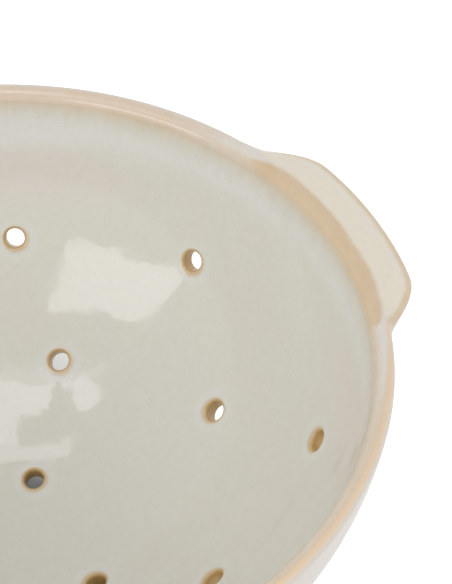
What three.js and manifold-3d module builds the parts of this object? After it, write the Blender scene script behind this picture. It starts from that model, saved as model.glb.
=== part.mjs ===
// A ceramic colander: a thrown stoneware bowl pierced with drain holes, two lug handles luted to its
// rim and a notched foot ring luted under its floor. Millimetres, +Z up, origin at the base's centre.
import * as THREE from 'three';
import { mergeVertices } from 'three/addons/utils/BufferGeometryUtils.js';
import Module from 'manifold-3d';

const wasm = await Module();
wasm.setup();

// Bowl
const rimRadius = 115; // axis to the highest line of the rim
const bowlDepth = 91.8; // highest line of the rim to the floor inside
const floorClearance = 4.6; // table to the underside of the floor
const wall = 5.6; // measured square to the surface
const wallLean = THREE.MathUtils.degToRad(8.6); // the wall leans out this far at the rim
const rimRound = 1.8; // radius of the rim's rounding outside its highest line
const sidePull = 46.2; // how far the side keeps straight before it curves in
const floorPull = 58.2; // how far the floor keeps level before it curves up

// Drain holes
const holeDiameter = 6.7;
const mouthToHoles = 15.5; // inner edge of the rim's rounding to the upper ring of holes, both from the axis
const footToMiddleHoles = 20.5; // outside of the foot ring to the middle ring of holes
const footToLowerHoles = 11.2; // inside of the foot ring to the lower ring of holes
const drainAngle = 45; // degrees from +X to the first lower hole, and to the first notch in the foot

// Lug handles, drawn out of the line of the rim
const lugReach = 12.1; // highest line of the rim to the lug's outer edge
const lugFullLength = 46; // along the rim, where the lug has its full reach
const lugFlank = 26.3; // along the rim, from there to where the lug has run out into it
const lugThickness = 3.6; // top face to the underside of the outer edge
const lugNose = 1.7; // how far back the outer edge's rounding starts
const lugCove = 13; // underside of the outer edge down to where the lug dies into the wall

// Foot ring
const footRadius = 46; // axis to the middle of the ring
const footWidth = 8;
const footTaper = 1.5; // how much narrower each side of the ring is at the height of its joint
const footRound = 1.6; // rounding of the edges that meet the table
const notchWidth = 15; // arched notches that let the water under the floor run out
const notchHeight = 5;
const notchCount = 4;

// Joints and facets
const lutingGap = 0.3; // between a luted piece and the bowl
const turnSegments = 80;
const wallSteps = 14;
const lipSteps = 4;
const crestSteps = 4;
const footSteps = 3;
const archSteps = 10;
const lugStations = 32;
const lugSteps = 14;
const holeSegments = 16;
const weldDistance = 1e-4;

const glaze = { color: 0xd0cbbb, roughness: 0.22, metalness: 0 };
const lugGlaze = { color: 0xd8cdb6, roughness: 0.24, metalness: 0 };
const footGlaze = { color: 0xcdc3ad, roughness: 0.4, metalness: 0 };

const rimHeight = floorClearance + wall + bowlDepth;
const footInside = footRadius - footWidth / 2;
const footOutside = footRadius + footWidth / 2;
const lugHalf = lugFullLength / 2 + lugFlank;
// Inside its highest line the rim is rounded by what the outer rounding leaves of the wall
const lipRound = (wall - rimRound * (1 + Math.sin(wallLean))) / (1 - Math.sin(wallLean));

// The wall's section at the rim: out of the bowl, and down along the wall
const outward = new THREE.Vector2(Math.cos(wallLean), -Math.sin(wallLean));
const downward = new THREE.Vector2(-Math.sin(wallLean), -Math.cos(wallLean));
const crestCentre = new THREE.Vector2(rimRadius, rimHeight - rimRound);
const lipCentre = new THREE.Vector2(rimRadius, rimHeight - lipRound);

// Inner side of the wall, from the inner edge of the rim's rounding down to the middle of the floor
function innerWallCurve() {
  const start = lipCentre.clone().addScaledVector(outward, -lipRound);
  const floorHeight = rimHeight - bowlDepth;
  return new THREE.CubicBezierCurve(
    start,
    start.clone().addScaledVector(downward, sidePull),
    new THREE.Vector2(floorPull, floorHeight),
    new THREE.Vector2(0, floorHeight),
  );
}
const innerWall = innerWallCurve();

// The holes are punched by hand, so each turns and moves out a little from its ring's even spacing
const holeRings = [
  {
    radius: innerWall.getPoint(0).x - mouthToHoles,
    firstAngle: 22.5,
    turn: [2.9, -6.4, 2, -3, 1.5, -2, 3, -1.6],
    out: [1.6, -2.1, 0.8, -1, 0.5, 1.2, -1.4, 0.3],
  },
  {
    radius: footOutside + footToMiddleHoles,
    firstAngle: 0,
    turn: [2.4, 3.5, -2, 3, -3.5, 1, 2.5, -2.5],
    out: [4.7, -3.9, 1.5, -1, 2, -2, 1, -1.2],
  },
  {
    radius: footInside - footToLowerHoles,
    firstAngle: drainAngle,
    turn: [0.9, -3, 2.5, -2],
    out: [0.5, 1.2, -0.8, 0.6],
  },
];

// A point of the wall at a share of the inner curve, set off square to it by a distance
function wallPoint(share, distance) {
  const along = innerWall.getTangent(share);
  const normal = new THREE.Vector2(-along.y, along.x);
  return innerWall.getPoint(share).addScaledVector(normal, distance);
}

// The share of the inner curve where it has a given radius
function shareAtRadius(radius) {
  let low = 0;
  let high = 1;
  for (let i = 0; i < 40; i += 1) {
    const middle = (low + high) / 2;
    if (innerWall.getPoint(middle).x > radius) {
      low = middle;
    } else {
      high = middle;
    }
  }
  return low;
}

// The share of the inner curve where the wall, set off by a distance, has a given height
function shareAtHeight(height, distance) {
  let low = 0;
  let high = 1;
  for (let i = 0; i < 40; i += 1) {
    const middle = (low + high) / 2;
    if (wallPoint(middle, distance).y > height) {
      low = middle;
    } else {
      high = middle;
    }
  }
  return low;
}

function arcPoints(centre, radius, fromAngle, toAngle, steps) {
  const points = [];
  for (let i = 0; i <= steps; i += 1) {
    const angle = THREE.MathUtils.lerp(fromAngle, toAngle, i / steps);
    const direction = new THREE.Vector2(Math.cos(angle), Math.sin(angle));
    points.push(centre.clone().addScaledVector(direction, radius));
  }
  return points;
}

// Points down the wall, set off by a distance, from the rim to the axis
function wallPoints(distance) {
  const points = [];
  for (let i = 0; i <= wallSteps; i += 1) {
    points.push(wallPoint(i / wallSteps, distance));
  }
  points[wallSteps].x = 0;
  return points;
}

// The rim's rounding outside its highest line, down to the outer wall
function crestPoints(grow) {
  return arcPoints(crestCentre, rimRound + grow, Math.PI / 2, -wallLean, crestSteps);
}

// The rim's rounding from the inner wall up to just short of its highest line
function lipPoints() {
  const points = arcPoints(lipCentre, lipRound, Math.PI - wallLean, Math.PI / 2, lipSteps);
  return points.slice(1, lipSteps);
}

function revolve(profile) {
  const geometry = new THREE.LatheGeometry(profile, turnSegments);
  return geometry.rotateX(Math.PI / 2);
}

// A closed geometry as a solid that can be joined and cut
function toSolid(geometry) {
  geometry.deleteAttribute('normal');
  geometry.deleteAttribute('uv');
  const merged = mergeVertices(geometry, weldDistance);
  const corners = merged.index.array;
  const triangles = [];
  for (let i = 0; i < corners.length; i += 3) {
    const [a, b, c] = corners.slice(i, i + 3);
    if (a !== b && b !== c && c !== a) {
      triangles.push(a, b, c);
    }
  }
  const vertProperties = new Float32Array(merged.attributes.position.array);
  const triVerts = new Uint32Array(triangles);
  return new wasm.Manifold(new wasm.Mesh({ numProp: 3, vertProperties, triVerts }));
}

function toMesh(name, solid, look) {
  const { vertProperties, triVerts } = solid.getMesh();
  const geometry = new THREE.BufferGeometry();
  geometry.setAttribute('position', new THREE.BufferAttribute(vertProperties, 3));
  geometry.setIndex(new THREE.BufferAttribute(triVerts, 1));
  geometry.computeVertexNormals();
  const mesh = new THREE.Mesh(geometry, new THREE.MeshStandardMaterial(look));
  mesh.name = name;
  return mesh;
}

// The space that the bowl fills, with its hollow, grown by the luting gap
function bowlEnvelope() {
  const lid = new THREE.Vector2(0, rimHeight + lutingGap);
  const outside = wallPoints(wall + lutingGap);
  return toSolid(revolve([lid, ...crestPoints(lutingGap), ...outside].reverse()));
}

// A straight punch through the wall, square to it
function punch(radius, angle) {
  const share = shareAtRadius(radius);
  const inside = wallPoint(share, 0);
  const outside = wallPoint(share, wall);
  const length = wall * 3;
  const tool = new THREE.CylinderGeometry(holeDiameter / 2, holeDiameter / 2, length, holeSegments);
  const middle = inside.clone().add(outside).divideScalar(2);
  const along = outside.clone().sub(inside);
  const slant = new THREE.Vector3(along.x, 0, along.y).normalize();
  const turn = new THREE.Quaternion().setFromUnitVectors(new THREE.Vector3(0, 1, 0), slant);
  tool.applyQuaternion(turn);
  tool.translate(middle.x, 0, middle.y);
  tool.rotateZ(angle);
  return toSolid(tool);
}

function makeBowl() {
  const inside = wallPoints(0);
  const outside = wallPoints(wall);
  const profile = [...inside.reverse(), ...lipPoints(), ...crestPoints(0), ...outside];
  let bowl = toSolid(revolve(profile.reverse()));
  for (const ring of holeRings) {
    const spacing = 360 / ring.turn.length;
    ring.turn.forEach((turn, i) => {
      const angle = THREE.MathUtils.degToRad(ring.firstAngle + i * spacing + turn);
      bowl = bowl.subtract(punch(ring.radius + ring.out[i], angle));
    });
  }
  return toMesh('bowl', bowl, glaze);
}

// Where the lug's underside dies into the wall
const lugEndShare = shareAtHeight(rimHeight - lugThickness - lugCove, wall);
const lugEnd = wallPoint(lugEndShare, wall);

// The rim's own section from its highest line down the outer wall, which the lug runs out into
function plainSection() {
  const path = new THREE.Path();
  path.moveTo(crestCentre.x, rimHeight);
  path.absarc(crestCentre.x, crestCentre.y, rimRound, Math.PI / 2, -wallLean, true);
  path.splineThru([0, 1 / 3, 2 / 3, 1].map((part) => wallPoint(part * lugEndShare, wall)));
  return path.getSpacedPoints(lugSteps);
}

// The lug's section at its full reach: level top, rounded outer edge, coved underside
function lugSection() {
  const edge = rimRadius + lugReach;
  const middle = rimHeight - lugThickness / 2;
  const under = rimHeight - lugThickness;
  const endSlope = innerWall.getTangent(lugEndShare);
  const pull = lugCove / 2;
  const path = new THREE.Path();
  path.moveTo(crestCentre.x, rimHeight);
  path.lineTo(edge - lugNose, rimHeight);
  path.absellipse(edge - lugNose, middle, lugNose, lugThickness / 2, Math.PI / 2, -Math.PI / 2, true, 0);
  path.bezierCurveTo(
    edge - lugNose - pull,
    under,
    lugEnd.x - endSlope.x * pull,
    lugEnd.y - endSlope.y * pull,
    lugEnd.x,
    lugEnd.y,
  );
  return path.getSpacedPoints(lugSteps);
}

// How much of its full reach the lug has at a length along the rim from its middle
function lugShare(length) {
  return 1 - THREE.MathUtils.smoothstep(Math.abs(length), lugFullLength / 2, lugHalf);
}

// One lug: sections between the plain rim and the full lug, set round the rim and cut by the bowl
function lugSolid(envelope) {
  const plain = plainSection();
  const full = lugSection();
  const inWall = [wallPoint(lugEndShare, wall / 2), crestCentre];
  const ringSize = plain.length + inWall.length;
  const positions = [];
  const corners = [];
  for (let station = 0; station <= lugStations; station += 1) {
    const length = THREE.MathUtils.lerp(-lugHalf, lugHalf, station / lugStations);
    const share = lugShare(length);
    const angle = length / rimRadius;
    const section = [...plain.map((point, i) => point.clone().lerp(full[i], share)), ...inWall];
    for (const point of section) {
      positions.push(point.x * Math.cos(angle), point.x * Math.sin(angle), point.y);
    }
    if (station === 0 || station === lugStations) {
      const cap = THREE.ShapeUtils.triangulateShape(section, []);
      const first = station * ringSize;
      for (const [a, b, c] of cap) {
        corners.push(...(station === 0 ? [a, b, c] : [c, b, a]).map((corner) => first + corner));
      }
    }
  }
  for (let station = 0; station < lugStations; station += 1) {
    for (let i = 0; i < ringSize; i += 1) {
      const next = (i + 1) % ringSize;
      const here = station * ringSize;
      const there = here + ringSize;
      corners.push(here + i, there + next, there + i, here + i, here + next, there + next);
    }
  }
  const geometry = new THREE.BufferGeometry();
  geometry.setAttribute('position', new THREE.Float32BufferAttribute(positions, 3));
  geometry.setIndex(corners);
  return toSolid(geometry).subtract(envelope);
}

function makeLug(name, envelope, angle) {
  const lug = toMesh(name, lugSolid(envelope), lugGlaze);
  lug.rotation.z = angle;
  return lug;
}

// An arched notch through the foot ring, along +X
function notch() {
  const arch = new THREE.Shape();
  arch.moveTo(-notchWidth / 2, -footRound);
  arch.lineTo(notchWidth / 2, -footRound);
  arch.lineTo(notchWidth / 2, 0);
  arch.absellipse(0, 0, notchWidth / 2, notchHeight, 0, Math.PI, false, 0);
  arch.closePath();
  const depth = footWidth * 2;
  const tool = new THREE.ExtrudeGeometry(arch, { depth, bevelEnabled: false, curveSegments: archSteps });
  tool.rotateX(Math.PI / 2);
  tool.rotateZ(Math.PI / 2);
  return tool.translate(footRadius - depth / 2, 0, 0);
}

function makeFootRing(envelope) {
  const top = wallPoint(shareAtRadius(footOutside), 0).y;
  const corner = (x, from, to) => arcPoints(new THREE.Vector2(x, footRound), footRound, from, to, footSteps);
  const profile = [
    new THREE.Vector2(footInside + footTaper, top),
    ...corner(footInside + footRound, Math.PI, Math.PI * 1.5),
    ...corner(footOutside - footRound, Math.PI * 1.5, Math.PI * 2),
    new THREE.Vector2(footOutside - footTaper, top),
    new THREE.Vector2(footInside + footTaper, top),
  ];
  let ring = toSolid(revolve(profile)).subtract(envelope);
  for (let i = 0; i < notchCount; i += 1) {
    const angle = THREE.MathUtils.degToRad(drainAngle + (i * 360) / notchCount);
    ring = ring.subtract(toSolid(notch().rotateZ(angle)));
  }
  return toMesh('foot_ring', ring, footGlaze);
}

const envelope = bowlEnvelope();
const colander = new THREE.Group();
colander.name = 'ceramic_colander';
colander.add(makeBowl());
colander.add(makeLug('handle_right', envelope, 0));
colander.add(makeLug('handle_left', envelope, Math.PI));
colander.add(makeFootRing(envelope));

export default colander;
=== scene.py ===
# A glazed ceramic colander around its CAD frame. Metres, +Z up, origin at the centre of the base.
import math

import bmesh
import bpy
import numpy as np
from mathutils import Euler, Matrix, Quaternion, Vector


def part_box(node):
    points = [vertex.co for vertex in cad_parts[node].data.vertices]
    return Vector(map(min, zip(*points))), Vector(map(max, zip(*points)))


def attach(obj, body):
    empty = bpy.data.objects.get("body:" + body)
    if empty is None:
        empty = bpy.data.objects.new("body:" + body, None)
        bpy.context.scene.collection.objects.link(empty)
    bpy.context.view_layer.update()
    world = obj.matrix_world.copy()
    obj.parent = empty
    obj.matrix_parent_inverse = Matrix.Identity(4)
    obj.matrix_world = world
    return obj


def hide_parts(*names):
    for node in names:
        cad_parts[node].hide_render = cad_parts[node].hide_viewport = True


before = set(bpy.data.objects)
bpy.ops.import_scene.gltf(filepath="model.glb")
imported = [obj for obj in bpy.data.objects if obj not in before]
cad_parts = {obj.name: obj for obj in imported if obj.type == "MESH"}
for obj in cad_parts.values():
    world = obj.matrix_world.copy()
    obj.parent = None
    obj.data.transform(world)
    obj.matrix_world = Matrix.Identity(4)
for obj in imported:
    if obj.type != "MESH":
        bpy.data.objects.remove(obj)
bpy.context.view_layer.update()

MM = 0.001
TURN = 2 * math.pi

# Sizes read from the frame
RIM_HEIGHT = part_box("bowl")[1].z
RIM_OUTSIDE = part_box("bowl")[1].y
FLOOR_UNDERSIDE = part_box("bowl")[0].z
LUG_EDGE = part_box("handle_right")[1].x
FOOT_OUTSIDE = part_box("foot_ring")[1].x

# Bowl
RIM_RADIUS = 115 * MM  # axis to the highest line of the rim
WALL = 5.6 * MM
WALL_LEAN = math.radians(8.6)
RIM_ROUND = 1.8 * MM  # rounding of the rim outside its highest line
LIP_ROUND = (WALL - RIM_ROUND * (1 + math.sin(WALL_LEAN))) / (1 - math.sin(WALL_LEAN))  # and inside it
SIDE_PULL = 46.2 * MM
FLOOR_PULL = 58.2 * MM
FLOOR_INSIDE = FLOOR_UNDERSIDE + WALL
SWELLS = [
    # height, waves round the bowl, phase, and the phase's drift down the wall
    (0.11 * MM, 2, 0.6, 5.0),
    (0.08 * MM, 3, -1.1, -9.0),
]
RING_HEIGHT = 0.06 * MM  # of the rings that throwing leaves
RING_WAVE = 17.0  # radians of their wave down the wall
RING_WANDER = 0.4  # and by how much it shifts on the way round
RING_SIDE = 0.5  # radians by which that is turned
SWELLS_BEGIN = (0.06, 0.25)  # parts of the wall's length between which they begin
SWELLS_END = (0.75, 0.97)  # and end in the floor

# Drain holes
HOLE_RADIUS = 3.0 * MM  # inside the glaze, which narrows the bore
HOLE_ROUND = 1.1 * MM  # rounding of the glazed edge of each hole
MOUTH_TO_HOLES = 15.5 * MM
FOOT_TO_MIDDLE_HOLES = 20.5 * MM
FOOT_TO_LOWER_HOLES = 11.2 * MM
DRAIN_ANGLE = 45

# Lug handles
LUG_AHEAD = (21 * MM, 30 * MM, 1.0)  # anticlockwise from its middle: full reach, flank, its steepening
LUG_BEHIND = (23.8 * MM, 19.4 * MM, 1.3)  # and clockwise
RUN_OUT = (40 * MM, 54 * MM)  # where a thin run-out of clay leads on into the rim, and ends
RUN_OUT_SHARE = 0.11  # its reach, as a share of the lug's
LUG_THICKNESS = 3.6 * MM
LUG_NOSE = 1.7 * MM
LUG_COVE = 13 * MM
SEAM_DEPTH = 0.2 * MM  # how far a luted piece's edges lie inside the bowl's clay

# Foot ring
FOOT_WIDTH = 8 * MM
FOOT_TAPER = 1.5 * MM
FOOT_ROUND = 1.6 * MM
FOOT_FLARE = 2.2 * MM  # clay smoothed into the corner between ring and bowl
FLARE_DEPTH = 2.5 * MM  # how far below the bowl that begins
BARE_CLAY = (0.3 * MM, 1.6 * MM)  # heights between which the base's bare clay ends
NOTCH_WIDTH = 15 * MM
NOTCH_HEIGHT = 5 * MM
NOTCH_ROUND = 1.2 * MM
NOTCH_COUNT = 4
FOOT_INSIDE = FOOT_OUTSIDE - FOOT_WIDTH

# Mesh density
TURN_COUNT = 320  # points round the bowl near its rim
HALVING_RADII = (50 * MM, 18 * MM, 9 * MM, 4.5 * MM)  # each halves the points round
ROW_STEP = 1.9 * MM
LAST_ROW_RADIUS = 2 * MM
HOLE_PATCH = 8 * MM  # half the side of the patch that a hole is set in
CURVE_SAMPLES = 4001
LIP_STEPS = 20  # on the rim's rounding inside its highest line
CREST_STEPS = 14  # and outside it
OUTER_LIP_POINTS = 4  # from there to the outer wall
PLAIN_POINTS = 24  # on each curve of the rim's section under a lug
LUG_CURVE_POINTS = 40  # on each curve of a lug's section
NOTCH_POINTS = 22  # on half of a notch's arch
NOTCH_EDGE_POINTS = 7  # on its rounded edge
BETWEEN_NOTCHES = 40
FOOT_CORNER_STEPS = 6
FOOT_OUTER_POINTS = 10
FOOT_INNER_POINTS = 8
PATCH_RINGS = 7  # from the patch's border to the hole's rounded edge
PATCH_CROWDING = 1.35  # how much closer they lie towards the hole
EDGE_RINGS = 7  # on that rounded edge
BORE_RINGS = 4
SETTLING_ROUNDS = 12  # of the search for a point on the wall

# Photograph's camera
CAMERA_PLACE = (-0.17175, -0.49180, 0.66295)
CAMERA_TILT = 43.983
CAMERA_HEADING = -26.939
CAMERA_ROLL = -0.639
CAMERA_LENS = 167.656
CAMERA_SENSOR = 36.0


def smoothstep(value, low, high):
    part = np.clip((np.asarray(value, float) - low) / (high - low), 0, 1)
    return part * part * (3 - 2 * part)


def bump_curve(value, centre, width):
    return np.exp(-(((np.asarray(value, float) - centre) / width) ** 2))


# Profile of the bowl, as points of radius and height
OUTWARD = np.array([math.cos(WALL_LEAN), -math.sin(WALL_LEAN)])
DOWNWARD = np.array([-math.sin(WALL_LEAN), -math.cos(WALL_LEAN)])
CREST_CENTRE = np.array([RIM_RADIUS, RIM_HEIGHT - RIM_ROUND])
LIP_CENTRE = np.array([RIM_RADIUS, RIM_HEIGHT - LIP_ROUND])
INNER_EDGE = LIP_CENTRE - LIP_ROUND * OUTWARD
WALL_CONTROL = np.array([
    INNER_EDGE,
    INNER_EDGE + SIDE_PULL * DOWNWARD,
    (FLOOR_PULL, FLOOR_INSIDE),
    (0, FLOOR_INSIDE),
])


def cubic(controls, share):
    """Points at shares of the way along a cubic curve."""
    s = np.asarray(share, float)[..., None]
    a, b, c, d = controls
    return a * (1 - s) ** 3 + 3 * b * s * (1 - s) ** 2 + 3 * c * s ** 2 * (1 - s) + d * s ** 3


def inner_wall(share):
    return cubic(WALL_CONTROL, share)


def wall_normal(share):
    s = np.asarray(share, float)[..., None]
    a, b, c, d = WALL_CONTROL
    slope = (b - a) * (1 - s) ** 2 + 2 * (c - b) * s * (1 - s) + (d - c) * s ** 2
    slope = slope / np.linalg.norm(slope, axis=-1, keepdims=True)
    return np.stack([-slope[..., 1], slope[..., 0]], axis=-1)


def lengths_along(points):
    """Length along a line to each of its points."""
    return np.concatenate([[0], np.cumsum(np.linalg.norm(np.diff(points, axis=0), axis=1))])


CURVE_SHARES = np.linspace(0, 1, CURVE_SAMPLES)
CURVE_POINTS = inner_wall(CURVE_SHARES)
CURVE_LENGTHS = lengths_along(CURVE_POINTS)
OUTER_POINTS = CURVE_POINTS + WALL * wall_normal(CURVE_SHARES)
WALL_LENGTH = CURVE_LENGTHS[-1]


def length_at_radius(radius):
    return np.interp(radius, CURVE_POINTS[::-1, 0], CURVE_LENGTHS[::-1])


def lumps(angle, length):
    """The hand-made unevenness of the wall: shallow swells and rings."""
    part = length / WALL_LENGTH
    fade = smoothstep(part, *SWELLS_BEGIN) * (1 - smoothstep(part, *SWELLS_END))
    swell = RING_HEIGHT * np.sin(RING_WAVE * part + RING_WANDER * np.sin(angle + RING_SIDE))
    for height, waves, phase, drift in SWELLS:
        swell = swell + height * np.sin(waves * angle + phase + drift * part)
    return swell * fade


def wall_surface(angle, length, distance):
    """Points at angles round the axis, lengths down the inner wall and a distance off it."""
    angle, length = np.broadcast_arrays(np.asarray(angle, float), np.asarray(length, float))
    share = np.interp(length, CURVE_LENGTHS, CURVE_SHARES)
    section = inner_wall(share) + (distance + lumps(angle, length))[..., None] * wall_normal(share)
    return turned(section, angle)


def turned(section, angle):
    """Section points of radius and height, turned to their angles round the axis."""
    angle = np.broadcast_to(angle, section.shape[:-1])
    radius = section[..., 0]
    return np.stack([radius * np.cos(angle), radius * np.sin(angle), section[..., 1]], axis=-1)


def arc(centre, radius, start, end, steps):
    angles = np.linspace(start, end, steps + 1)
    return np.asarray(centre) + radius * np.stack([np.cos(angles), np.sin(angles)], axis=-1)


def round_corner(before, corner, after, radius, steps):
    """An arc that rounds a corner between two straight lines."""
    to_before = (before - corner) / np.linalg.norm(before - corner)
    to_after = (after - corner) / np.linalg.norm(after - corner)
    half = math.acos(np.clip(to_before @ to_after, -1, 1)) / 2
    middle = (to_before + to_after) / np.linalg.norm(to_before + to_after)
    centre = corner + middle * radius / math.sin(half)
    first = corner + to_before * radius / math.tan(half) - centre
    last = corner + to_after * radius / math.tan(half) - centre
    start = math.atan2(first[1], first[0])
    turn = math.remainder(math.atan2(last[1], last[0]) - start, TURN)
    return arc(centre, radius, start, start + turn, steps)


def resample(points, count):
    """The same open line with evenly spaced points."""
    lengths = lengths_along(points)
    even = np.linspace(0, lengths[-1], count)
    return np.stack([np.interp(even, lengths, points[:, i]) for i in range(2)], axis=-1)


def rim_profile():
    """The rim's profile from the inner wall over its highest line to the outer wall."""
    lip = arc(LIP_CENTRE, LIP_ROUND, math.pi - WALL_LEAN, math.pi / 2, LIP_STEPS)
    crest = arc(CREST_CENTRE, RIM_ROUND, math.pi / 2, -WALL_LEAN, CREST_STEPS)
    crest[:, 0] = np.minimum(crest[:, 0], RIM_OUTSIDE)
    outside = np.linspace(crest[-1], INNER_EDGE + WALL * OUTWARD, OUTER_LIP_POINTS)[1:-1]
    return np.concatenate([lip, crest[1:], outside])


RIM_PROFILE = rim_profile()
RIM_LENGTHS = lengths_along(RIM_PROFILE)
CREST_LENGTH = RIM_LENGTHS[LIP_STEPS]


def add_object(name, data):
    thing = bpy.data.objects.new(name, data)
    bpy.context.scene.collection.objects.link(thing)
    return thing


class Shell:
    """A closed mesh in the making, with the glaze's marks on its points."""

    MARKS = ("tan", "halo", "band", "cream", "lug_tan", "warm")

    def __init__(self):
        self.points = []
        self.marks = []
        self.faces = []
        self.count = 0

    def add(self, points, *marks):
        points = np.asarray(points, float).reshape(-1, 3)
        shape = len(points)
        self.points.append(points)
        marks = marks + (0.0,) * (len(self.MARKS) - len(marks))
        self.marks.append(np.stack([np.broadcast_to(mark, shape) for mark in marks], axis=-1))
        self.count += shape
        return np.arange(self.count - shape, self.count)

    def strip(self, first, second, skip=()):
        """Quads between two closed rings of as many points, apart from the cells to skip."""
        size = len(first)
        skip = set(skip)
        for i in range(size):
            if i not in skip:
                k = (i + 1) % size
                self.faces.append((first[i], first[k], second[k], second[i]))

    def halve(self, fine, coarse):
        """Triangles from a closed ring to one with half as many points."""
        size = len(fine)
        for i in range(len(coarse)):
            a, b, c = fine[2 * i], fine[2 * i + 1], fine[(2 * i + 2) % size]
            d, e = coarse[i], coarse[(i + 1) % len(coarse)]
            self.faces.extend([(a, b, d), (b, e, d), (b, c, e)])

    def fan(self, ring, centre):
        for i in range(len(ring)):
            self.faces.append((ring[i], ring[(i + 1) % len(ring)], centre))

    def build(self, name):
        points = np.concatenate(self.points)
        marks = np.concatenate(self.marks)
        used = np.unique(np.concatenate([np.asarray(face) for face in self.faces]))
        renumber = np.zeros(len(points), int)
        renumber[used] = np.arange(len(used))
        mesh = bpy.data.meshes.new(name)
        mesh.from_pydata(points[used].tolist(), [], [renumber[list(face)].tolist() for face in self.faces])
        for i, mark in enumerate(self.MARKS):
            attribute = mesh.attributes.new(mark, "FLOAT", "POINT")
            attribute.data.foreach_set("value", marks[used, i].astype(np.float32))
        work = bmesh.new()
        work.from_mesh(mesh)
        bmesh.ops.recalc_face_normals(work, faces=work.faces)
        work.to_mesh(mesh)
        work.free()
        mesh.shade_smooth()
        return add_object(name, mesh)


# Glaze on the rim, whose near side is towards -Y and far side towards +Y
TAN_AHEAD = (22 * MM, 46 * MM, 0.8)  # anticlockwise from a lug's middle: its tan narrows, ends, sharpness
TAN_BEHIND = (33 * MM, 46 * MM, 0.55)  # and clockwise
TAN_WANING = (0.2, 1.3)  # parts of that narrowing between which it wanes
TAN_PAST_CREST = 0.9 * MM  # how far it reaches past the rim's highest line
TAN_BLUR = 1.5 * MM  # how softly it ends there
TAN_FADE = 5.2 * MM  # and how far it fades down the wall
TAN_LOW = 2.6 * MM  # and where on the rim's profile that begins
INNER_TAN = 0.58  # how much tan shows along the lip's inner edge
INNER_GAIN = 0.12  # how much more beside a lug, on the near side
INNER_PLACE = 1.7 * MM  # where on the rim's profile it is strongest
INNER_WIDTH = (3 * MM, 2.2 * MM)  # near and far
LIP_AHEAD = (26 * MM, 76 * MM)  # anticlockwise: where the whole lip turns tan, and is
LIP_BEHIND = (45 * MM, 84 * MM)  # and clockwise
LIP_TAN = (0.612, 0.72)  # how tan it is, near and far
LIP_END = (-0.2 * MM, 2.3 * MM)  # how far past the highest line that ends, near and far
LIP_BLUR = 1.3 * MM  # how softly
LIP_LOSS = 0.35  # how much of it is lost past that line
LIP_WARMTH = (0.4, 1.0)  # how pink it is, near and far
WARM_LIP = (30 * MM, 56 * MM)  # where that begins, and is full
CREST_TAN = (1.02, 0.22)  # how tan the rim is along its highest line, near and far
CREST_PLACE = 0.8 * MM  # how far past that line it is strongest
CREST_OUT = 0.9 * MM  # how much further out that is beside a lug
CREST_NEAR_LUG = (44 * MM, 60 * MM)  # and where that stops, from its middle
CREST_IN = 0.8 * MM  # and how much further in, away from the lugs
CREST_WIDTH = 1.6 * MM
CREST_OFF_LUG = (0.1, 0.4)  # shares of a lug's reach between which this tan ends
OUTER_SIDE = (-1.5 * MM, 0.3 * MM)  # between these past that line, the outer side begins
OUTER_CREAM = 1.2 * MM  # and its cream, on the far side
LUG_CREAM = 1 * MM  # where on the lip the cream beside a lug begins

# Glaze on the wall, with places as lengths below the lip's inner edge
THIN_SIDE = math.radians(-46)  # where the glaze is thinnest
THIN_WIDTH = math.radians(19)
BACK = (0.8, 0.96)  # shares of the way to the far side between which the back begins
WALL_TAN_FADE = (3 * MM, 4.6 * MM)  # how far the lip's tan fades down the wall, near and far
THIN_TAN_FADE = 12 * MM  # and how much further where the glaze is thin
HALO = (0.36, 0.8)  # how much of a bluish halo shows, near and far
BACK_HALO = 0.4  # how much more of it shows at the back
THIN_HALO_LOSS = 0.6  # and how much is lost where the glaze is thin
HALO_PLACE = 9 * MM
HALO_WIDTH = 4.5 * MM
BACK_HALO_WIDTH = 3 * MM  # how much wider it is at the back
BAND_DEPTH = 14 * MM  # how far the paler band under the rim reaches
BAND_SLANT = 2.5 * MM  # how much further at the back
BAND_SIDE = 0.2  # radians by which that is turned
BAND_WAVE = 1.2 * MM  # and how much further in each of its waves
BAND_WAVES = 4
BAND_BLUR = 6 * MM
WARM_SIDE = math.radians(60)  # where the wall is pinker
WARM_PATCHES = 4  # as many times round the bowl
WARM_PLACE = 22 * MM
WARM_WIDTH = 11 * MM
THIN_WARMTH = 0.8  # how far it is pink where the glaze is thin
THIN_WARM_PLACE = 8 * MM
THIN_WARM_WIDTH = 14 * MM
OUTSIDE_FADE = 20 * MM  # how far the cream fades down the outer wall


def rim_length(angle):
    """Length along the rim from the middle of the nearer lug, anticlockwise."""
    return (np.remainder(np.asarray(angle) + math.pi / 2, math.pi) - math.pi / 2) * RIM_RADIUS


def by_side(along, ahead, behind):
    """Values for anticlockwise of a lug's middle, or those for clockwise."""
    return [np.where(along > 0, *pair) for pair in zip(ahead, behind)]


def far_share(angle):
    """0 at the near side of the bowl, 1 at its far side."""
    return 0.5 + 0.5 * np.sin(angle)


def blend(share, first, second):
    return first + (second - first) * share


def lug_share(angle):
    """1 along each lug's full reach, falling to 0 at its ends."""
    length = rim_length(angle)
    full, flank, power = by_side(length, LUG_AHEAD, LUG_BEHIND)
    part = np.clip((np.abs(length) - full) / flank, 0, 1)
    fall = smoothstep(part ** power, 0, 1)
    run_out = RUN_OUT_SHARE * (1 - smoothstep(np.abs(length), *RUN_OUT))
    return 1 - fall * (1 - run_out)


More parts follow.
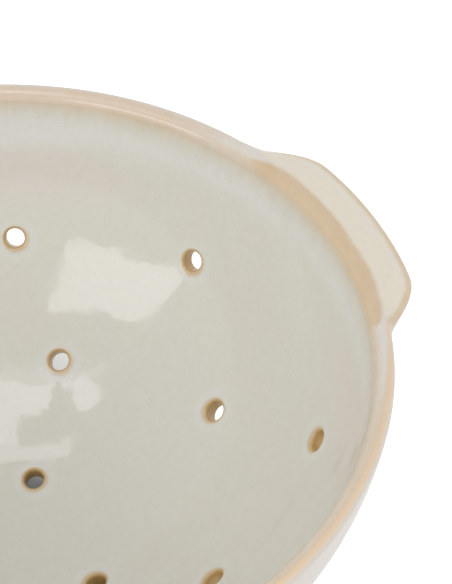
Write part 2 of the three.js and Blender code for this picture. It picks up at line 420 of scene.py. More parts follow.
def lug_tan(angle, length):
    """The tan beside a lug, from -1 to 1, at a length along the rim's profile."""
    along = rim_length(angle)
    start, stop, power = by_side(along, TAN_AHEAD, TAN_BEHIND)
    narrowing = np.clip((np.abs(along) - start) / (stop - start), 0, 1)
    reach = CREST_LENGTH + TAN_PAST_CREST + TAN_BLUR
    end = reach * (1 - narrowing ** 2) ** power - TAN_BLUR
    on_lip = (end - length) / TAN_BLUR
    on_wall = np.minimum(end / TAN_BLUR, 1) + 2 * (length - TAN_LOW) / TAN_FADE
    waning = 1 - 2 * smoothstep(narrowing, *TAN_WANING)
    return np.minimum(np.minimum(on_lip, on_wall), waning)


def lip_share(angle):
    """0 beside the lugs, 1 where all of the lip is tan."""
    along = rim_length(angle)
    return np.maximum(smoothstep(along, *LIP_AHEAD), smoothstep(-along, *LIP_BEHIND))


def inner_line_tan(angle, length):
    """The tan along the inner edge of the lip."""
    far = far_share(angle)
    strength = INNER_TAN + INNER_GAIN * (1 - lip_share(angle)) * (1 - far)
    return strength * bump_curve(length, INNER_PLACE, blend(far, *INNER_WIDTH))


def past_crest(length):
    """0 on the lip, 1 past the highest line of the rim."""
    return smoothstep(length, CREST_LENGTH + OUTER_SIDE[0], CREST_LENGTH + OUTER_SIDE[1])


def lip_tan(angle, length):
    """The tan on the lip as a whole."""
    far = far_share(angle)
    end = CREST_LENGTH + blend(far, *LIP_END)
    on_lip = 1 - smoothstep(length, end - LIP_BLUR, end + LIP_BLUR)
    strength = blend(far, *LIP_TAN) * lip_share(angle)
    return strength * on_lip * (1 - LIP_LOSS * past_crest(length))


def crest_tan(angle):
    """How tan the rim is along its highest line."""
    return blend(far_share(angle), *CREST_TAN)


def crest_line_tan(angle, length):
    """The tan along the rim's highest line, which strays outward beside a lug."""
    off_lug = 1 - smoothstep(lug_share(angle), *CREST_OFF_LUG)
    beside = 1 - smoothstep(np.abs(rim_length(angle)), *CREST_NEAR_LUG)
    stray = CREST_PLACE + CREST_OUT * beside - CREST_IN * lip_share(angle)
    return crest_tan(angle) * off_lug * bump_curve(length, CREST_LENGTH + stray, CREST_WIDTH)


def rim_marks(angle, length):
    """The glaze's marks at an angle and a length along the rim's profile."""
    far = far_share(angle)
    on_lip = np.maximum(inner_line_tan(angle, length), lip_tan(angle, length))
    tan = np.maximum(on_lip, crest_line_tan(angle, length))
    outside = past_crest(length)
    low_down = smoothstep(length, CREST_LENGTH + OUTER_CREAM, RIM_LENGTHS[-1])
    beside_lug = lug_share(angle) * smoothstep(length, LUG_CREAM, CREST_LENGTH)
    cream = np.maximum(outside * (1 - far * (1 - low_down)), beside_lug)
    pink_lip = blend(far, *LIP_WARMTH) * smoothstep(np.abs(rim_length(angle)), *WARM_LIP)
    warm = np.maximum(outside, pink_lip)
    return tan, np.zeros_like(tan), np.ones_like(tan), cream, lug_tan(angle, length), warm


def wall_marks(angle, length):
    """The glaze's marks on the inner wall, at a length below the lip's inner edge."""
    far = far_share(angle)
    back = smoothstep(far, *BACK)
    thin = bump_curve(np.remainder(angle - THIN_SIDE + math.pi, TURN) - math.pi, 0, THIN_WIDTH)
    tan = INNER_TAN * np.exp(-length / (blend(far, *WALL_TAN_FADE) + THIN_TAN_FADE * thin))
    strength = (blend(far, *HALO) + BACK_HALO * back) * (1 - THIN_HALO_LOSS * thin)
    halo = strength * bump_curve(length, HALO_PLACE, HALO_WIDTH + BACK_HALO_WIDTH * back)
    depth = BAND_DEPTH + BAND_SLANT * np.sin(angle - BAND_SIDE) + BAND_WAVE * np.sin(BAND_WAVES * angle)
    band = 1 - smoothstep(length, depth - BAND_BLUR, depth + BAND_BLUR)
    patches = (0.5 + 0.5 * np.cos(WARM_PATCHES * (angle - WARM_SIDE))) ** 2
    warm = patches * bump_curve(length, WARM_PLACE, WARM_WIDTH)
    warm = np.maximum(warm, THIN_WARMTH * thin * bump_curve(length, THIN_WARM_PLACE, THIN_WARM_WIDTH))
    return tan, halo, band, np.zeros_like(tan), lug_tan(angle, -length), warm


def outside_marks(angle, length):
    """The glaze's marks on the outer wall: cream that fades down from the rim."""
    fade = np.exp(-length / OUTSIDE_FADE) * np.ones_like(angle)
    none = np.zeros_like(fade)
    return none, none, np.ones_like(fade), fade, none - 1, none


# The wall's two sides: distance from its inner curve, way into the clay, and the glaze's marks
INSIDE = (0.0, 1, wall_marks)
OUTSIDE = (WALL, -1, outside_marks)


# Drain holes
def hole_list():
    """Angle and radius of each hole: even rings, with the drift of a hand that punches them."""
    rings = [
        # radius, first angle, and how far each hole drifts: degrees round, and millimetres out
        (INNER_EDGE[0] - MOUTH_TO_HOLES, 22.5,
         (2.9, -6.4, 2, -3, 1.5, -2, 3, -1.6), (1.6, -2.1, 0.8, -1, 0.5, 1.2, -1.4, 0.3)),
        (FOOT_OUTSIDE + FOOT_TO_MIDDLE_HOLES, 0,
         (2.4, 3.5, -2, 3, -3.5, 1, 2.5, -2.5), (4.7, -3.9, 1.5, -1, 2, -2, 1, -1.2)),
        (FOOT_INSIDE - FOOT_TO_LOWER_HOLES, DRAIN_ANGLE,
         (0.9, -3, 2.5, -2), (0.5, 1.2, -0.8, 0.6)),
    ]
    holes = []
    for radius, first, turns, outs in rings:
        for i, (turn, out) in enumerate(zip(turns, outs)):
            angle = math.radians(first + 360 * i / len(turns) + turn)
            holes.append((angle, radius + out * MM))
    return holes


LAST_ROW = length_at_radius(LAST_ROW_RADIUS)
ROW_LENGTHS = np.linspace(0, LAST_ROW, round(LAST_ROW / ROW_STEP) + 1)
ROW_RADII = np.interp(ROW_LENGTHS, CURVE_LENGTHS, CURVE_POINTS[:, 0])


def row_count(radius):
    return TURN_COUNT >> sum(radius < limit for limit in HALVING_RADII)


class Hole:
    """The window that a hole takes out of the wall's grid, and the frame of its bore."""

    def __init__(self, angle, radius):
        self.angle = angle
        self.length = length_at_radius(radius)
        self.row = int(np.argmin(np.abs(ROW_LENGTHS - self.length)))
        self.count = row_count(radius)
        self.column = round(angle / TURN * self.count)
        self.half_rows = math.ceil(HOLE_PATCH / ROW_STEP)
        self.half_columns = math.ceil(HOLE_PATCH / (TURN * radius / self.count))
        share = np.interp(self.length, CURVE_LENGTHS, CURVE_SHARES)
        normal = wall_normal(share)
        self.across = np.array([-math.sin(angle), math.cos(angle), 0])
        self.through = turned(normal, angle)
        self.down = turned(np.array([normal[1], -normal[0]]), angle)

    def cells(self, row):
        """The cells of a row of the grid that the hole's window takes out."""
        if not -self.half_rows <= row - self.row < self.half_rows:
            return []
        first = self.column - self.half_columns
        return [(first + i) % self.count for i in range(2 * self.half_columns)]

    def border(self):
        """Column and row of each grid point round the window, in order."""
        left, right = self.column - self.half_columns, self.column + self.half_columns
        top, bottom = self.row - self.half_rows, self.row + self.half_rows
        ring = [(column, top) for column in range(left, right)]
        ring += [(right, row) for row in range(top, bottom)]
        ring += [(column, bottom) for column in range(right, left, -1)]
        ring += [(left, row) for row in range(bottom, top, -1)]
        return ring

    def on_wall(self, x, y, distance):
        """Points of the wall at x across and y down from the hole's centre, seen along its bore."""
        centre = wall_surface(self.angle, self.length, distance)
        angle = self.angle + x / np.linalg.norm(centre[:2])
        length = self.length + y
        for _ in range(SETTLING_ROUNDS):
            points = wall_surface(angle, length, distance)
            offset = points - centre
            angle = angle + (x - offset @ self.across) / np.linalg.norm(points[:, :2], axis=1)
            length = length + (y - offset @ self.down)
        return wall_surface(angle, length, distance), angle, length


HOLES = [Hole(angle, radius) for angle, radius in hole_list()]
HOLE_EDGE = HOLE_RADIUS + HOLE_ROUND
HOLE_RUN = 0.4 * MM  # how far the tan round a hole has run down
HOLE_SWAY = 0.45 * MM  # and to one side, at most
HOLE_TAN = (HOLE_EDGE - 0.6 * MM, HOLE_EDGE + 0.7 * MM)  # radii between which that tan ends
HOLE_HALO = 0.5  # how much of the halo shows round it
HOLE_HALO_RADIUS = HOLE_EDGE + 1.8 * MM
HOLE_HALO_WIDTH = 1.4 * MM
BORE_TAN = 0.9  # how far a bore's glaze is past tan, towards brown


def hole_marks(hole, x, y):
    """Tan and halo at x across and y down from a hole's axis."""
    sway = HOLE_SWAY * math.sin(5 * hole.angle + hole.row)
    reach = np.hypot(x - sway, y - HOLE_RUN)
    tan = 1 - smoothstep(reach, *HOLE_TAN)
    halo = HOLE_HALO * bump_curve(reach, HOLE_HALO_RADIUS, HOLE_HALO_WIDTH)
    return tan, halo


def hole_side(shell, hole, border, side):
    """Rings from the window's border to the bore, on one side of the wall. Returns the last."""
    distance, inward, side_marks = side
    ring = border
    points = np.concatenate(shell.points)[border]
    centre = wall_surface(hole.angle, hole.length, distance)
    x = (points - centre) @ hole.across
    y = (points - centre) @ hole.down
    direction = np.arctan2(y, x)
    circle_x, circle_y = np.cos(direction), np.sin(direction)
    for k in range(1, PATCH_RINGS + 1):
        part = 1 - (1 - k / PATCH_RINGS) ** PATCH_CROWDING
        ring_x = blend(part, x, HOLE_EDGE * circle_x)
        ring_y = blend(part, y, HOLE_EDGE * circle_y)
        points, angle, length = hole.on_wall(ring_x, ring_y, distance)
        tan, halo = hole_marks(hole, ring_x, ring_y)
        _, _, band, cream, _, warm = side_marks(angle, length)
        ring = next_ring(shell, ring, points, tan, halo, band, cream, -1.0, warm)
    for k in range(1, EDGE_RINGS + 1):
        bend = math.pi / 2 * k / EDGE_RINGS
        reach = HOLE_RADIUS + HOLE_ROUND * (1 - math.sin(bend))
        points, _, _ = hole.on_wall(reach * circle_x, reach * circle_y, distance)
        points = points + inward * HOLE_ROUND * (1 - math.cos(bend)) * hole.through
        ring = next_ring(shell, ring, points, 1 + math.sin(bend) * BORE_TAN, 0.0, 0.0, 0.0, -1.0)
    return ring


def next_ring(shell, ring, points, *marks):
    following = shell.add(points, *marks)
    shell.strip(ring, following)
    return following


def hole_bore(shell, inner, outer):
    """The straight bore between the rounded edges of its two sides."""
    points = np.concatenate(shell.points)
    start, end = points[inner], points[outer]
    marks = (1 + BORE_TAN, 0.0, 0.0, 0.0, -1.0)
    ring = inner
    for k in range(1, BORE_RINGS):
        ring = next_ring(shell, ring, start + (end - start) * k / BORE_RINGS, *marks)
    shell.strip(ring, outer)


def wall_side(shell, side):
    """The grid of one side of the wall, with a window left for each hole. Returns its rings."""
    distance, _, side_marks = side
    rings = []
    for length, radius in zip(ROW_LENGTHS, ROW_RADII):
        count = row_count(radius)
        angle = TURN * np.arange(count) / count
        points = wall_surface(angle, length, distance)
        rings.append(shell.add(points, *side_marks(angle, length)))
    for row in range(len(rings) - 1):
        if len(rings[row]) == len(rings[row + 1]):
            skip = [cell for hole in HOLES for cell in hole.cells(row)]
            shell.strip(rings[row], rings[row + 1], skip)
        else:
            shell.halve(rings[row], rings[row + 1])
    centre = shell.add(wall_surface(0.0, WALL_LENGTH, distance))
    shell.fan(rings[-1], centre[0])
    return rings


def make_bowl():
    shell = Shell()
    inside = wall_side(shell, INSIDE)
    outside = wall_side(shell, OUTSIDE)
    angle = TURN * np.arange(TURN_COUNT) / TURN_COUNT
    ring = inside[0]
    for section, length in list(zip(RIM_PROFILE, RIM_LENGTHS))[1:]:
        points = turned(np.broadcast_to(section, (TURN_COUNT, 2)), angle)
        ring = next_ring(shell, ring, points, *rim_marks(angle, length))
    shell.strip(ring, outside[0])
    for hole in HOLES:
        border = hole.border()
        inner = np.array([inside[row][column % hole.count] for column, row in border])
        outer = np.array([outside[row][column % hole.count] for column, row in border])
        inner_end = hole_side(shell, hole, inner, INSIDE)
        outer_end = hole_side(shell, hole, outer, OUTSIDE)
        hole_bore(shell, inner_end, outer_end)
    return shell.build("glazed_bowl")


# Lug handles
LUG_EDGE_TAN = 0.75  # how much of the tan shows along a lug's outer edge
LUG_EDGE_BAND = (-3.2 * MM, -0.9 * MM)  # how far from its outline that begins, and is full
LUG_EDGE_LOW = (2.4 * MM, 3.5 * MM)  # how far down that starts to fade, at its ends and midway
LUG_EDGE_FADE = 2.2  # and is gone, times that
LUG_HALO = 0.4  # how much of the halo shows inside the tan on its top
LUG_HALO_PLACE = -3.6 * MM  # from its outline
LUG_HALO_WIDTH = 1.2 * MM
LUG_TOP = (0.2 * MM, 1 * MM)  # depths between which its top ends
LUG_CREAM_REACH = 0.6  # share of its reach where it is all cream
LUG_POINTS = 44
LUG_STATIONS = 120
UNDERSIDE = (0.42, 0.62)  # parts of its section between which its underside begins
UNDERCUT = 0.9  # how much sooner that ends than its edge does
LUG_END = RIM_HEIGHT - LUG_THICKNESS - LUG_COVE  # height where it dies into the wall midway
LUG_END_SHARE = np.interp(-LUG_END, -OUTER_POINTS[:, 1], CURVE_SHARES)  # and share of the wall's curve


def plain_section():
    """The rim's own section outside its highest line, a seam's depth inside the clay."""
    crest = arc(CREST_CENTRE, RIM_ROUND - SEAM_DEPTH, math.pi / 2, -WALL_LEAN, PLAIN_POINTS)
    shares = np.linspace(0, LUG_END_SHARE, PLAIN_POINTS)
    outside = inner_wall(shares) + (WALL - SEAM_DEPTH) * wall_normal(shares)
    return resample(np.concatenate([crest, outside]), LUG_POINTS)


def lug_section():
    """The lug's section at its full reach: level top, rounded outer edge, coved underside."""
    nose_centre = np.array([LUG_EDGE - LUG_NOSE, RIM_HEIGHT - LUG_THICKNESS / 2])
    bend = np.linspace(math.pi / 2, -math.pi / 2, LUG_CURVE_POINTS)
    nose = nose_centre + np.stack([LUG_NOSE * np.cos(bend), LUG_THICKNESS / 2 * np.sin(bend)], axis=-1)
    normal = wall_normal(LUG_END_SHARE)
    end = inner_wall(LUG_END_SHARE) + (WALL - SEAM_DEPTH) * normal
    up_wall = np.array([-normal[1], normal[0]])
    pull = LUG_COVE / 2
    controls = [nose[-1], nose[-1] - (pull, 0), end + up_wall * pull, end]
    cove = cubic(controls, np.linspace(0, 1, LUG_CURVE_POINTS)[1:])
    start = np.array([[RIM_RADIUS, RIM_HEIGHT]])
    return resample(np.concatenate([start, nose, cove]), LUG_POINTS)


def lug_marks(section, angle):
    """The glaze's marks along one section of the lug."""
    share = lug_share(angle)
    reach = section[:, 0] - section[:, 0].max()
    drop = RIM_HEIGHT - section[:, 1]
    low = blend(share, *LUG_EDGE_LOW)
    edge = smoothstep(reach, *LUG_EDGE_BAND) * (1 - smoothstep(drop, low, LUG_EDGE_FADE * low))
    on_top = 1 - smoothstep(drop, *LUG_TOP)
    tan = blend(share, crest_tan(angle), LUG_EDGE_TAN) * edge
    halo = LUG_HALO * share * bump_curve(reach, LUG_HALO_PLACE, LUG_HALO_WIDTH) * on_top
    cream = smoothstep(share, 0, LUG_CREAM_REACH) * np.ones_like(tan)
    beside = lug_tan(angle, CREST_LENGTH + np.maximum(section[:, 0] - RIM_RADIUS, 0))
    beside = np.where(on_top > 0.5, beside, -1)
    return tan, halo, np.ones_like(tan), cream, beside, 1 - cream


def make_lug(name, heading):
    plain = plain_section()
    full = lug_section()
    in_wall = np.stack([
        inner_wall(LUG_END_SHARE) + WALL / 2 * wall_normal(LUG_END_SHARE),
        CREST_CENTRE - (SEAM_DEPTH, 0),
        CREST_CENTRE + (-RIM_ROUND / 2, RIM_ROUND / 2),
    ])
    under = smoothstep(np.arange(LUG_POINTS) / LUG_POINTS, *UNDERSIDE)
    shell = Shell()
    ring = None
    for length in np.linspace(-RUN_OUT[1], RUN_OUT[1], LUG_STATIONS + 1):
        angle = length / RIM_RADIUS
        share = lug_share(angle) ** (1 + UNDERCUT * under)
        section = np.concatenate([blend(share[:, None], plain, full), in_wall])
        following = shell.add(turned(section, angle + heading), *lug_marks(section, angle))
        if ring is None:
            shell.faces.append(tuple(following))
        else:
            shell.strip(ring, following)
        ring = following
    shell.faces.append(tuple(ring))
    return shell.build(name)


# Foot ring
def notch_stations():
    """Angles from a notch's middle, and the height of the ring's base there."""
    bend = np.linspace(math.pi / 2, 0, NOTCH_POINTS)
    half = NOTCH_WIDTH / 2
    x = half * np.cos(bend)
    z = NOTCH_ROUND + (NOTCH_HEIGHT - NOTCH_ROUND) * np.sin(bend)
    turn = np.linspace(0, math.pi / 2, NOTCH_EDGE_POINTS)[1:]
    x = np.concatenate([x, half + NOTCH_ROUND * (1 - np.cos(turn))])
    z = np.concatenate([z, NOTCH_ROUND * (1 - np.sin(turn))])
    foot_radius = (FOOT_INSIDE + FOOT_OUTSIDE) / 2
    return x / foot_radius, z


def foot_stations():
    """Angle and base height of each station round the ring."""
    notch_angle, notch_base = notch_stations()
    spacing = TURN / NOTCH_COUNT
    between = np.linspace(notch_angle[-1], spacing - notch_angle[-1], BETWEEN_NOTCHES)[1:-1]
    angles = np.concatenate([notch_angle, between, spacing - notch_angle[:0:-1]])
    bases = np.concatenate([notch_base, np.zeros(len(between)), notch_base[:0:-1]])
    stations = []
    for i in range(NOTCH_COUNT):
        first = math.radians(DRAIN_ANGLE) + i * spacing
        stations += [(first + angle, base) for angle, base in zip(angles, bases)]
    return stations


def underside_height(radius):
    return np.interp(radius, OUTER_POINTS[::-1, 0], OUTER_POINTS[::-1, 1])


def foot_section(base):
    """The ring's section above a base height: flared into the bowl, tapered, rounded below."""
    joint_in = underside_height(FOOT_INSIDE)
    joint_out = underside_height(FOOT_OUTSIDE)
    low_in = np.array([FOOT_INSIDE, base])
    low_out = np.array([FOOT_OUTSIDE, base])
    top_out = np.array([FOOT_OUTSIDE - FOOT_TAPER, joint_out + FOOT_FLARE])
    top_in = np.array([FOOT_INSIDE + FOOT_TAPER, joint_in + FOOT_FLARE])
    middle = (low_in + low_out) / 2
    inner_corner = round_corner(top_in, low_in, middle, FOOT_ROUND, FOOT_CORNER_STEPS)
    outer_corner = round_corner(middle, low_out, top_out, FOOT_ROUND, FOOT_CORNER_STEPS)
    outer_side = np.linspace(outer_corner[-1], top_out, FOOT_OUTER_POINTS)[1:]
    inner_side = np.linspace(top_in, inner_corner[0], FOOT_INNER_POINTS)[:-1]
    for side, joint, flare in ((outer_side, joint_out, FOOT_FLARE), (inner_side, joint_in, -FOOT_FLARE)):
        side[:, 0] += flare * smoothstep(side[:, 1], joint - FLARE_DEPTH, joint + FOOT_FLARE)
    section = np.concatenate([inner_corner, outer_corner, outer_side, inner_side])
    section[:, 1] = np.maximum(section[:, 1], base)
    return section


def make_foot():
    shell = Shell()
    rings = []
    for angle, base in foot_stations():
        section = foot_section(base)
        bare = 1 - smoothstep(section[:, 1] - base, *BARE_CLAY)
        rings.append(shell.add(turned(section, angle), bare * (base < NOTCH_ROUND)))
    for i, ring in enumerate(rings):
        shell.strip(ring, rings[(i + 1) % len(rings)])
    return shell.build("foot")


# Materials
def linear(red, green, blue):
    """A screen colour of 0 to 255 as the shader's linear colour."""
    parts = [value / 255 for value in (red, green, blue)]
    return tuple(p / 12.92 if p <= 0.04045 else ((p + 0.055) / 1.055) ** 2.4 for p in parts) + (1.0,)


GLAZE_GREEN = linear(214, 213, 199)
GLAZE_PINK = linear(217, 208, 198)
GLAZE_PALE = linear(216, 214, 206)
GLAZE_BLUE = linear(221, 220, 216)
GLAZE_CREAM = linear(224, 215, 197)
GLAZE_SHADE = linear(166, 160, 148)
BREAK_TAN = linear(209, 186, 154)
BREAK_BROWN = linear(203, 177, 140)
BREAK_ROSE = linear(208, 186, 159)
# Peach tan past the rim's highest line, mostly on the near side: partly its own colour, partly a painted
# highlight where light catches the crest.
PEACH_TAN_WITH_PAINTED_LIGHT = linear(227, 201, 168)
BORE_BROWN = linear(197, 164, 105)
SPECK_BROWN = linear(158, 138, 108)
CLAY_BUFF = linear(206, 186, 158)
CLAY_DARK = linear(188, 164, 132)
FLOOR_WHITE = linear(247, 247, 247)
FLOOR_WHITER = linear(249, 249, 249)
BAND_SHARE = 0.5  # how far the band under the rim is paler
HALO_SHARE = 0.75  # how far a halo is bluish
RUN_SHARE = 0.35  # how much the small runs change the tan
MOTTLE_SHARE = 0.045  # how much of its shade shows in the glaze
CLOUD_SHARE = 0.3  # how far the plain glaze is pink in clouds
SPECK_SHARE = 0.5  # how brown the specks are
GRAIN_SHARE = 0.1  # and the fainter grains
SPECK_CORE = 0.4  # share of a speck's radius where it is full
MARK_START = 0.08  # how strong a mark has to be to show in full
TAN_START = 0.1  # and the tan
GLAZE_IOR = 1.5
GLAZE_ROUGHNESS = (0.06, 0.1)  # between which the gloss varies
TAN_ROUGHNESS = 0.12  # how much duller it is where it is tan
CLAY_ROUGHNESS = 5.0  # and on bare clay, times that
GLOSS_WAVES = ((16 * MM, 0.26 * MM), (7 * MM, 0.07 * MM), (3 * MM, 0.016 * MM))  # width and height of each
TAN_CALM = 0.2  # what is left of those waves where the glaze is tan
FLOOR_ROUGHNESS = 0.9


class Nodes:
    """The nodes of a material or the sky, made and linked by short calls."""

    def __init__(self, owner, shader="Principled BSDF", place="Object"):
        owner.use_nodes = True
        self.tree = owner.node_tree
        self.shader = self.tree.nodes[shader]
        self.place = self.tree.nodes.new("ShaderNodeTexCoord").outputs[place]

    def link(self, value, socket):
        if isinstance(value, bpy.types.NodeSocket):
            self.tree.links.new(value, socket)
        else:
            socket.default_value = value

    def attribute(self, name):
        node = self.tree.nodes.new("ShaderNodeAttribute")
        node.attribute_name = name
        return node.outputs["Fac"]

    def noise(self, size, detail=3.0, roughness=0.55, stretch=1.0):
        node = self.tree.nodes.new("ShaderNodeTexNoise")
        for name, value in (("Scale", 1 / size), ("Detail", detail), ("Roughness", roughness)):
            node.inputs[name].default_value = value
        self.link(self.place if stretch == 1 else self.upright(stretch), node.inputs["Vector"])
        return node.outputs["Fac"]

    def swing(self, size, detail=3.0, stretch=1.0):
        """Noise that swings about nought."""
        return self.math("SUBTRACT", self.noise(size, detail, stretch=stretch), 0.5)

    def upright(self, stretch):
        """The place, with heights shortened to stretch a pattern upwards."""
        node = self.tree.nodes.new("ShaderNodeMapping")
        node.inputs["Scale"].default_value = (1, 1, 1 / stretch)
        self.link(self.place, node.inputs["Vector"])
        return node.outputs["Vector"]

    def specks(self, spacing, radius, share):
        """1 in small round specks, in a share of the cells of a random pattern."""
        node = self.tree.nodes.new("ShaderNodeTexVoronoi")
        node.inputs["Scale"].default_value = 1 / spacing
        self.link(self.place, node.inputs["Vector"])
        edge = radius / spacing
        near = self.remap(node.outputs["Distance"], edge, edge * SPECK_CORE)
        parts = self.tree.nodes.new("ShaderNodeSeparateColor")
        self.link(node.outputs["Color"], parts.inputs["Color"])
        chosen = self.math("LESS_THAN", parts.outputs["Red"], share)
        return self.times(near, chosen)

    def math(self, operation, first, second=0.5, third=0.5):
        node = self.tree.nodes.new("ShaderNodeMath")
        node.operation = operation
        for value, socket in zip((first, second, third), node.inputs):
            self.link(value, socket)
        return node.outputs["Value"]

    def times(self, first, second):
        return self.math("MULTIPLY", first, second)

    def from_place(self, operation, point):
        """The distance of the place from a point, or its product with a direction."""
        node = self.tree.nodes.new("ShaderNodeVectorMath")
        node.operation = operation
        self.link(self.place, node.inputs[0])
        node.inputs[1].default_value = point
        return node.outputs["Value"]

    def remap(self, value, low, high, to_low=0.0, to_high=1.0, curve="SMOOTHSTEP"):
        node = self.tree.nodes.new("ShaderNodeMapRange")
        node.interpolation_type = curve
        for name, part in zip(("From Min", "From Max", "To Min", "To Max"), (low, high, to_low, to_high)):
            node.inputs[name].default_value = part
        self.link(value, node.inputs["Value"])
        return node.outputs["Result"]

    def mix(self, share, first, second):
        node = self.tree.nodes.new("ShaderNodeMix")
        node.data_type = "RGBA"
        self.link(share, node.inputs["Factor"])
        self.link(first, node.inputs[6])
        self.link(second, node.inputs[7])
        return node.outputs[2]

    def bump(self, height):
        """Shading as if the surface stood out by a height in metres."""
        node = self.tree.nodes.new("ShaderNodeBump")
        node.inputs["Distance"].default_value = 1.0
        self.link(height, node.inputs["Height"])
        self.link(node.outputs["Normal"], self.shader.inputs["Normal"])


def broken(nodes, mark, size, amount):
    """A mark with an uneven edge, as glaze that moved in the fire leaves."""
    shifted = nodes.math("MULTIPLY_ADD", nodes.swing(size), amount, mark)
    return nodes.times(nodes.remap(shifted, 0.0, 1.0), nodes.remap(mark, 0.0, MARK_START))


def glaze_tan(nodes, mark, beside_lug):
    """How much of the tan shows, with small runs in the lip's and the holes'."""
    runny = nodes.math("MULTIPLY_ADD", nodes.swing(size=3 * MM, stretch=5), RUN_SHARE, mark)
    tan = broken(nodes, nodes.math("MAXIMUM", runny, beside_lug), size=9 * MM, amount=0.12)
    return nodes.times(tan, nodes.remap(nodes.math("MAXIMUM", mark, beside_lug), 0.0, TAN_START))


def tan_colour(nodes, mark, beside_lug, on_pale):
    """The tan's colour: pinker on the lip, brown in the bores, and past the rim's highest line the on_pale
    colour, which on the bowl is a peach tan painted lighter as a painted highlight where light catches the
    crest.
    """
    brown = nodes.mix(nodes.remap(nodes.noise(size=12 * MM), 0.4, 0.75), BREAK_TAN, BREAK_BROWN)
    brown = nodes.mix(nodes.attribute("warm"), brown, BREAK_ROSE)
    brown = nodes.mix(nodes.math("SUBTRACT", nodes.attribute("cream"), beside_lug), brown, on_pale)
    return nodes.mix(nodes.remap(mark, 1.0, 2.0), brown, BORE_BROWN)


def glaze_grain(nodes, colour):
    """The glaze with its mottling, specks and grains."""
    mottle = nodes.remap(nodes.noise(size=2.4 * MM, detail=4, roughness=0.65), 0.35, 0.65)
    colour = nodes.mix(nodes.times(mottle, MOTTLE_SHARE), colour, GLAZE_SHADE)
    specks = nodes.times(nodes.specks(spacing=2.4 * MM, radius=0.26 * MM, share=0.24), SPECK_SHARE)
    grains = nodes.times(nodes.specks(spacing=1.5 * MM, radius=0.4 * MM, share=0.35), GRAIN_SHARE)
    return nodes.mix(nodes.math("MAXIMUM", specks, grains), colour, SPECK_BROWN)


def glaze_colour(nodes, plain, pale, on_pale):
    """The glaze over its plain colour: paler under the rim, bluish where it gathers, tan where it thins."""
    band = broken(nodes, nodes.attribute("band"), size=16 * MM, amount=0.5)
    colour = nodes.mix(nodes.times(band, BAND_SHARE), plain, GLAZE_PALE)
    colour = nodes.mix(nodes.attribute("cream"), colour, pale)
    halo = broken(nodes, nodes.attribute("halo"), size=10 * MM, amount=0.6)
    colour = nodes.mix(nodes.times(halo, HALO_SHARE), colour, GLAZE_BLUE)
    mark = nodes.attribute("tan")
    uneven = nodes.math("ADD", nodes.attribute("lug_tan"), nodes.swing(size=7 * MM))
    beside_lug = nodes.remap(uneven, -1.0, 1.0)
    tan = glaze_tan(nodes, mark, beside_lug)
    colour = nodes.mix(tan, colour, tan_colour(nodes, mark, beside_lug, on_pale))
    return glaze_grain(nodes, colour), tan


def finish_glaze(nodes, colour, rougher):
    """The glaze's gloss: faintly wavy, a little duller where it is tan."""
    nodes.link(colour, nodes.shader.inputs["Base Color"])
    uneven = nodes.remap(nodes.noise(size=14 * MM), 0.3, 0.7, *GLAZE_ROUGHNESS)
    nodes.link(nodes.math("MULTIPLY_ADD", rougher, TAN_ROUGHNESS, uneven), nodes.shader.inputs["Roughness"])
    nodes.shader.inputs["IOR"].default_value = GLAZE_IOR
    waves = 0.0
    for width, height in GLOSS_WAVES:
        waves = nodes.math("MULTIPLY_ADD", nodes.swing(width, detail=1), height, waves)
    calm = nodes.remap(nodes.attribute("tan"), 0.1, 0.5, 1.0, TAN_CALM)
    nodes.bump(nodes.times(waves, calm))


def plain_glaze(nodes):
    """Greenish glaze that is pink in clouds and where its mark says so."""
    clouds = nodes.times(nodes.remap(nodes.noise(size=48 * MM, detail=4), 0.35, 0.68), CLOUD_SHARE)
    warm = broken(nodes, nodes.attribute("warm"), size=14 * MM, amount=0.4)
    return nodes.mix(nodes.math("MAXIMUM", clouds, warm), GLAZE_GREEN, GLAZE_PINK)


def bowl_glaze():
    material = bpy.data.materials.new("bowl_glaze")
    nodes = Nodes(material)
    # The last colour is the peach tan past the rim's highest line, painted lighter as a painted highlight.
    finish_glaze(nodes, *glaze_colour(nodes, plain_glaze(nodes), GLAZE_PINK, PEACH_TAN_WITH_PAINTED_LIGHT))
    return material


def handle_glaze():
    material = bpy.data.materials.new("handle_glaze")
    nodes = Nodes(material)
    finish_glaze(nodes, *glaze_colour(nodes, plain_glaze(nodes), GLAZE_CREAM, BREAK_TAN))
    return material


def foot_glaze():
    material = bpy.data.materials.new("foot_glaze")
    nodes = Nodes(material)
    clay = nodes.remap(nodes.noise(size=2.5 * MM, detail=5), 0.3, 0.7)
    bare = broken(nodes, nodes.attribute("tan"), size=6 * MM, amount=0.4)
    colour = nodes.mix(bare, plain_glaze(nodes), nodes.mix(clay, CLAY_BUFF, CLAY_DARK))
    finish_glaze(nodes, colour, nodes.times(bare, CLAY_ROUGHNESS))
    return material


def floor_white():
    """A matt white sweep that still takes the object's shadow, and whose glow fades out under the bowl as a
    painted shadow.
    """
    material = bpy.data.materials.new("floor_white")
    nodes = Nodes(material)
    tint = nodes.mix(nodes.noise(size=0.5, detail=2), FLOOR_WHITE, FLOOR_WHITER)
    nodes.link(tint, nodes.shader.inputs["Base Color"])
    nodes.shader.inputs["Roughness"].default_value = FLOOR_ROUGHNESS
    path = nodes.tree.nodes.new("ShaderNodeLightPath")
    mirrored = nodes.math("MAXIMUM", path.outputs["Is Glossy Ray"], path.outputs["Is Transmission Ray"])
    seen = nodes.math("MULTIPLY_ADD", mirrored, MIRROR_LIFT, path.outputs["Is Camera Ray"])
    # Glow that fades out near the bowl: a painted shadow on the floor.
    reach = nodes.from_place("DISTANCE", PAINTED_SHADOW_CENTRE)
    glow_with_painted_shadow = nodes.remap(reach, PAINTED_SHADOW_RADIUS, FULL_GLOW_RADIUS, PAINTED_SHADOW_GLOW, FLOOR_GLOW)
    nodes.link(nodes.times(seen, glow_with_painted_shadow), nodes.shader.inputs["Emission Strength"])
    nodes.shader.inputs["Emission Color"].default_value = (1, 1, 1, 1)
    return material


